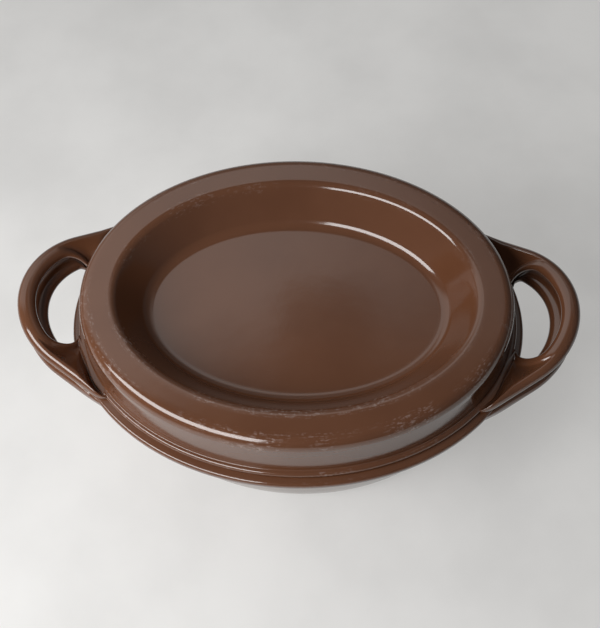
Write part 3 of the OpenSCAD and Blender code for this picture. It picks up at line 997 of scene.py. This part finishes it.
class OVEN_OT_lid_studs(BuildOperator):
    """Sets the drip studs under the lid"""

    bl_idname = "dutch_oven.lid_studs"
    bl_label = "Lid Studs"

    def execute(self, context):
        oval, lid = settings().oval, settings().lid
        root = lid.top - lid.well_depth - lid.wall + STUD_SUNK
        reach_x = oval.half_length - lid.well_foot - lid.stud_margin
        reach_y = oval.half_width - lid.well_foot - lid.stud_margin
        # Rows of a triangular grid
        row_pitch = lid.stud_pitch * math.cos(math.radians(30))
        rows = int(reach_y / row_pitch)
        columns = math.ceil(reach_x / lid.stud_pitch)
        bm = bmesh.new()
        for row in range(-rows, rows + 1):
            for column in range(-columns, columns + 1):
                x = (column + row % 2 / 2) * lid.stud_pitch
                y = row * row_pitch
                if (x / reach_x) ** 2 + (y / reach_y) ** 2 <= 1:
                    place = Vector((x, y, (root + STUD_FOOT) / 2))
                    self.add_stud(bm, lid, place, root - STUD_FOOT)
        finish_piece("lid_studs", bm, [black_enamel()], "lid", ["lid_drip_studs"])
        return {"FINISHED"}

    @staticmethod
    def add_stud(bm, lid, place, height):
        """Adds one stud with a rounded tip."""
        made = bmesh.ops.create_cone(bm, cap_ends=True, segments=STUD_SIDES,
                                     radius1=lid.stud_tip / 2, radius2=lid.stud_width / 2,
                                     depth=height, matrix=Matrix.Translation(place))
        tip = [edge for vert in made["verts"] for edge in vert.link_edges
               if all(end.co.z < place.z for end in edge.verts)]
        bmesh.ops.bevel(bm, geom=list(set(tip)), offset=STUD_ROUND, offset_type="OFFSET",
                        affect="EDGES", segments=STUD_ROUND_STEPS, profile=CIRCLE, material=-1)


# Edges of the pale wall that the enamel mirrors, in parts of the direction's X, Y and Z:
# from, to and, where it isn't 0 to 1, the level at each
CEILING_SLANT = 0.06
CEILING_EDGE = (0.93, 0.865)
NEAR_EDGE = (0.08, 0.32)
RIGHT_EDGE = (0.5, 0.2)
RIGHT_DIM = (0.2, -0.1, 0.36, 1)
LOW_DIM = (0.55, 0.75, 0.15, 1)
LEFT_EDGE = (-0.3, -0.5)
LEFT_SILL = (0.16, 0.34)
CAMERA_LEFT = (-0.08, -0.05)
CAMERA_RIGHT = (0.08, 0.02)
CAMERA_TOP = (0.86, 0.88)
CAMERA_DIM = (0, 1, 1, 0.25)

# A lamp's ray depth when it is mirrored once and twice
ONCE, TWICE = 2, 3


class OVEN_OT_stage(BuildOperator):
    """Sets the floor, the light and the camera"""

    bl_idname = "dutch_oven.stage"
    bl_label = "Stage"

    def execute(self, context):
        stage = settings().stage
        self.add_floor()
        self.add_room(context.scene, stage)
        self.add_softbox(stage)
        self.add_window(stage)
        self.add_camera(context.scene, stage)
        context.scene.view_settings.view_transform = "Standard"
        return {"FINISHED"}

    @staticmethod
    def add_floor():
        """Adds the pale floor that the pot stands on."""
        bm = bmesh.new()
        bmesh.ops.create_grid(bm, x_segments=1, y_segments=1, size=FLOOR_REACH)
        mesh = bpy.data.meshes.new("floor")
        bm.to_mesh(mesh)
        bm.free()
        mesh.materials.append(pale_floor())
        floor = bpy.data.objects.new("floor", mesh)
        floor.location.z = -FLOOR_GAP
        bpy.context.scene.collection.objects.link(floor)

    @staticmethod
    def add_room(scene, stage):
        """Adds the light of the room: a pale wall at the left and back, dim elsewhere."""
        world = bpy.data.worlds.new("room")
        world.use_nodes = True
        tree = world.node_tree
        where = add_node(tree, "ShaderNodeTexCoord")
        split = add_node(tree, "ShaderNodeSeparateXYZ")
        tree.links.new(where.outputs["Generated"], split.inputs["Vector"])
        x, y, z = (split.outputs[axis] for axis in "XYZ")
        lean = add_math(tree, "MULTIPLY", x, CEILING_SLANT)
        slant = add_math(tree, "ADD", lean, z)
        below = add_range(tree, slant, *CEILING_EDGE)
        behind = add_range(tree, y, *NEAR_EDGE)
        left = add_range(tree, x, *RIGHT_DIM)
        right = add_range(tree, x, *RIGHT_EDGE)
        high = add_range(tree, z, *LOW_DIM)
        far_left = add_range(tree, x, *LEFT_EDGE)
        raised = add_range(tree, z, *LEFT_SILL)
        low_left = add_math(tree, "MULTIPLY", far_left, raised)
        above = add_math(tree, "MAXIMUM", high, low_left)
        shade = OVEN_OT_stage.add_camera_shade(tree, x, z)
        wall = add_product(tree, shade, left, right, below, above, behind)
        room = add_mix(tree, wall, stage.ceiling, stage.walls)
        seen = add_seen(tree, stage.mirrored)
        light = add_mix(tree, seen, room, stage.backdrop)
        background = tree.nodes["Background"]
        tree.links.new(light, background.inputs["Color"])
        move_to_end(background, tree.nodes["World Output"])
        scene.world = world

    @staticmethod
    def add_camera_shade(tree, x, z):
        """Adds the dim upright shape of the camera and its stand in front of the pale wall."""
        left_edge = add_range(tree, x, *CAMERA_LEFT)
        right_edge = add_range(tree, x, *CAMERA_RIGHT)
        top_edge = add_range(tree, z, *CAMERA_TOP)
        shape = add_product(tree, left_edge, right_edge, top_edge)
        return add_range(tree, shape, *CAMERA_DIM)

    @staticmethod
    def add_lamp(name, width, height, power, place, target):
        """Adds a rectangle of light that faces a target."""
        lamp = bpy.data.lights.new(name, "AREA")
        lamp.shape = "RECTANGLE"
        lamp.size = width
        lamp.size_y = height
        lamp.energy = power
        holder = bpy.data.objects.new(name, lamp)
        holder.location = place
        towards = Vector(target) - Vector(place)
        holder.rotation_euler = towards.to_track_quat("-Z", "Y").to_euler()
        bpy.context.scene.collection.objects.link(holder)
        return holder

    def add_softbox(self, stage):
        """Adds the soft light on the left."""
        softbox = self.add_lamp("softbox", stage.softbox_size, stage.softbox_size, stage.softbox,
                                stage.softbox_place, stage.target)
        softbox.visible_glossy = False

    def add_window(self, stage):
        """Adds the window that shows only as a highlight on the enamel."""
        height = (stage.window_low + stage.window_high) / 2
        place = polar(0, stage.window_distance, stage.window_turn)
        window = self.add_lamp("window", stage.window_width, stage.window_high - stage.window_low,
                               stage.window, (*place, height), (0, 0, height))
        window.visible_diffuse = False
        self.dim_echoes(window.data, stage.window_echo)

    @staticmethod
    def dim_echoes(lamp, echo):
        """Dims a lamp in the mirror images of mirror images."""
        lamp.use_nodes = True
        tree = lamp.node_tree
        path = add_node(tree, "ShaderNodeLightPath")
        level = add_range(tree, path.outputs["Ray Depth"], ONCE, TWICE, 1, echo)
        light = next(node for node in tree.nodes if node.type == "EMISSION")
        tree.links.new(level, light.inputs["Strength"])

    @staticmethod
    def add_camera(scene, stage):
        """Adds the camera at the photographed angle."""
        lens = bpy.data.cameras.new("camera")
        lens.lens = stage.lens
        camera = bpy.data.objects.new("camera", lens)
        turn = (Matrix.Rotation(stage.azimuth, 4, "Z")
                @ Matrix.Rotation(math.pi / 2 - stage.elevation, 4, "X")
                @ Matrix.Rotation(stage.roll, 4, "Z"))
        back = turn.to_3x3() @ Vector((0, 0, 1))
        place = Vector(stage.target) + back * stage.distance
        camera.matrix_world = Matrix.Translation(place) @ turn
        scene.collection.objects.link(camera)
        scene.camera = camera


class OVEN_PT_sidebar(bpy.types.Panel):
    """Lists the oven's pieces and settings"""

    bl_idname = "OVEN_PT_sidebar"
    bl_label = "Dutch Oven"
    bl_space_type = "VIEW_3D"
    bl_region_type = "UI"
    bl_category = "Dutch Oven"

    def draw(self, context):
        for operator in OPERATORS:
            self.layout.operator(operator.bl_idname)
        for group in OvenSettings.__annotations__:
            values = getattr(settings(), group)
            box = self.layout.box()
            box.label(text=group.capitalize())
            for key in values.__annotations__:
                box.prop(values, key)


class OvenSettings(bpy.types.PropertyGroup):
    """All settings of the oven."""

    oval: PointerProperty(type=OvenOval, name="Oval", description="The oval of every wall")
    pot: PointerProperty(type=PotSizes, name="Pot", description="Sizes of the pot's casting")
    lid: PointerProperty(type=LidSizes, name="Lid", description="Sizes of the lid's casting")
    loop: PointerProperty(type=LoopSizes, name="Loops", description="Sizes of the loop handles")
    look: PointerProperty(type=EnamelLook, name="Enamel", description="Colours and finish")
    stage: PointerProperty(type=StageLook, name="Stage", description="Camera, floor and light")


GROUPS = (OvenOval, PotSizes, LidSizes, LoopSizes, EnamelLook, StageLook, OvenSettings)
OPERATORS = (OVEN_OT_pot_casting, OVEN_OT_pot_loops, OVEN_OT_lid_casting, OVEN_OT_lid_loops,
             OVEN_OT_lid_rib, OVEN_OT_lid_studs, OVEN_OT_stage)
CLASSES = (*GROUPS, *OPERATORS, OVEN_PT_sidebar)


def register():
    """Registers the classes and the scene's settings."""
    for cls in CLASSES:
        bpy.utils.register_class(cls)
    bpy.types.Scene.dutch_oven = PointerProperty(type=OvenSettings)


def unregister():
    """Removes the scene's settings and the classes."""
    del bpy.types.Scene.dutch_oven
    for cls in reversed(CLASSES):
        bpy.utils.unregister_class(cls)


def main():
    register()
    bpy.ops.dutch_oven.pot_casting()
    bpy.ops.dutch_oven.pot_loops()
    bpy.ops.dutch_oven.lid_casting()
    bpy.ops.dutch_oven.lid_loops()
    bpy.ops.dutch_oven.lid_rib()
    bpy.ops.dutch_oven.lid_studs()
    bpy.ops.dutch_oven.stage()


if __name__ == "__main__":
    main()
